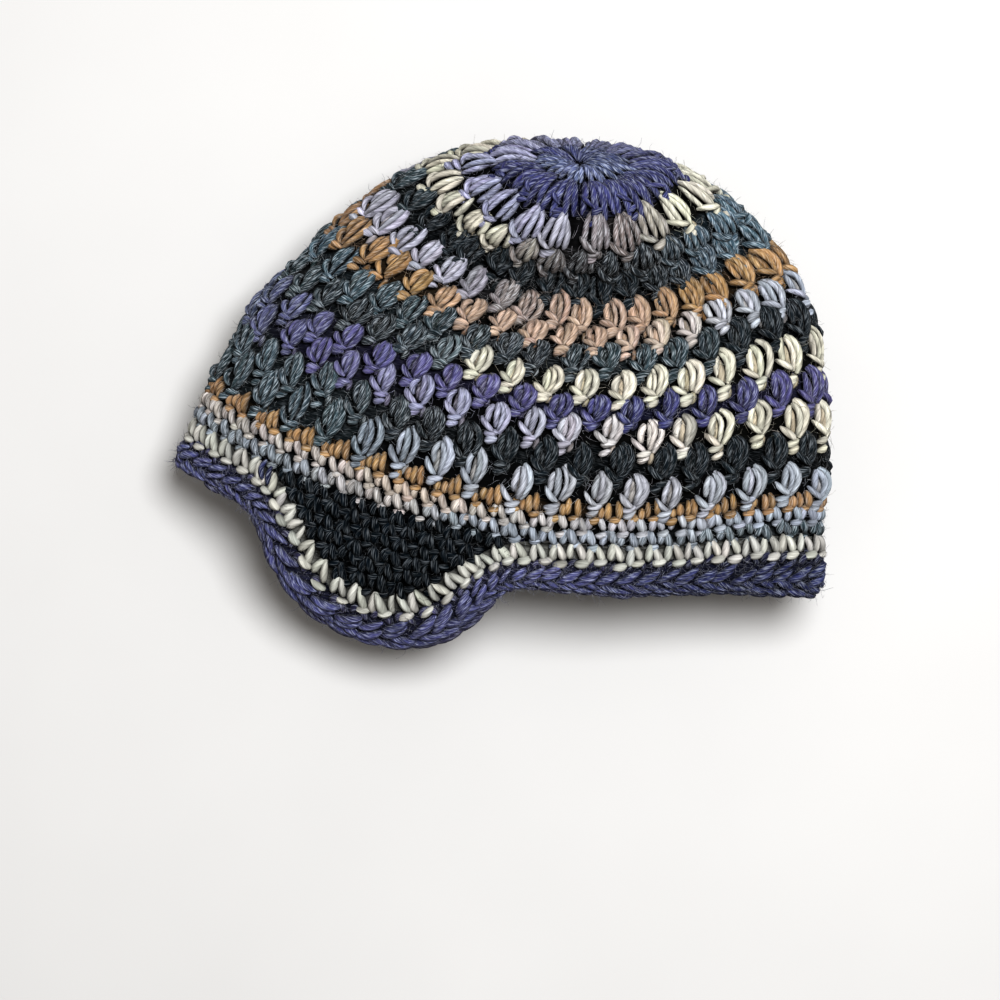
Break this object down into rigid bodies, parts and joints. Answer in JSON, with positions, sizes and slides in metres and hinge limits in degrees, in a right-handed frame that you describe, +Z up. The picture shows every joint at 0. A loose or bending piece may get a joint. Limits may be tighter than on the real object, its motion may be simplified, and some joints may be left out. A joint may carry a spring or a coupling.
{
  "type": "crochet beanie with ear flaps, lying on its side",
  "caption": "Striped crochet wool beanie with a puff-stitch crown, plain brim band, two ear flaps, cream trim and braided edging, lying on its side and open at the brim.",
  "frame": {"origin": "on the floor under the centre of the hat's bounding box, as it lies", "axes": "+Y from the brim to the crown along the hat's own axis, +X towards the fold at the front of the head, +Z up from the surface it lies on"},
  "size_m": [0.2376, 0.1908, 0.0785],
  "materials": {
    "star_wool": "heathered wool, indigo and greyish purple",
    "crown_wool": "heathered wool, grey, cream, black and tan rounds",
    "body_wool": "heathered wool, slate, cream, purple, charcoal and blue-grey rounds",
    "band_wool": "wool, orange, grey and slate rounds",
    "flap_wool": "wool, near black",
    "trim_wool": "wool, cream",
    "edging_wool": "wool, slate purple braid"
  },
  "bodies": {
    "root": {"crown_star": "star_wool", "crown_rounds": "crown_wool", "body_rounds": "body_wool", "brim_band": "band_wool", "ear_flap_near": "flap_wool", "ear_flap_far": "flap_wool", "cream_trim": "trim_wool", "purple_edging": "edging_wool"}
  },
  "joints": []
}
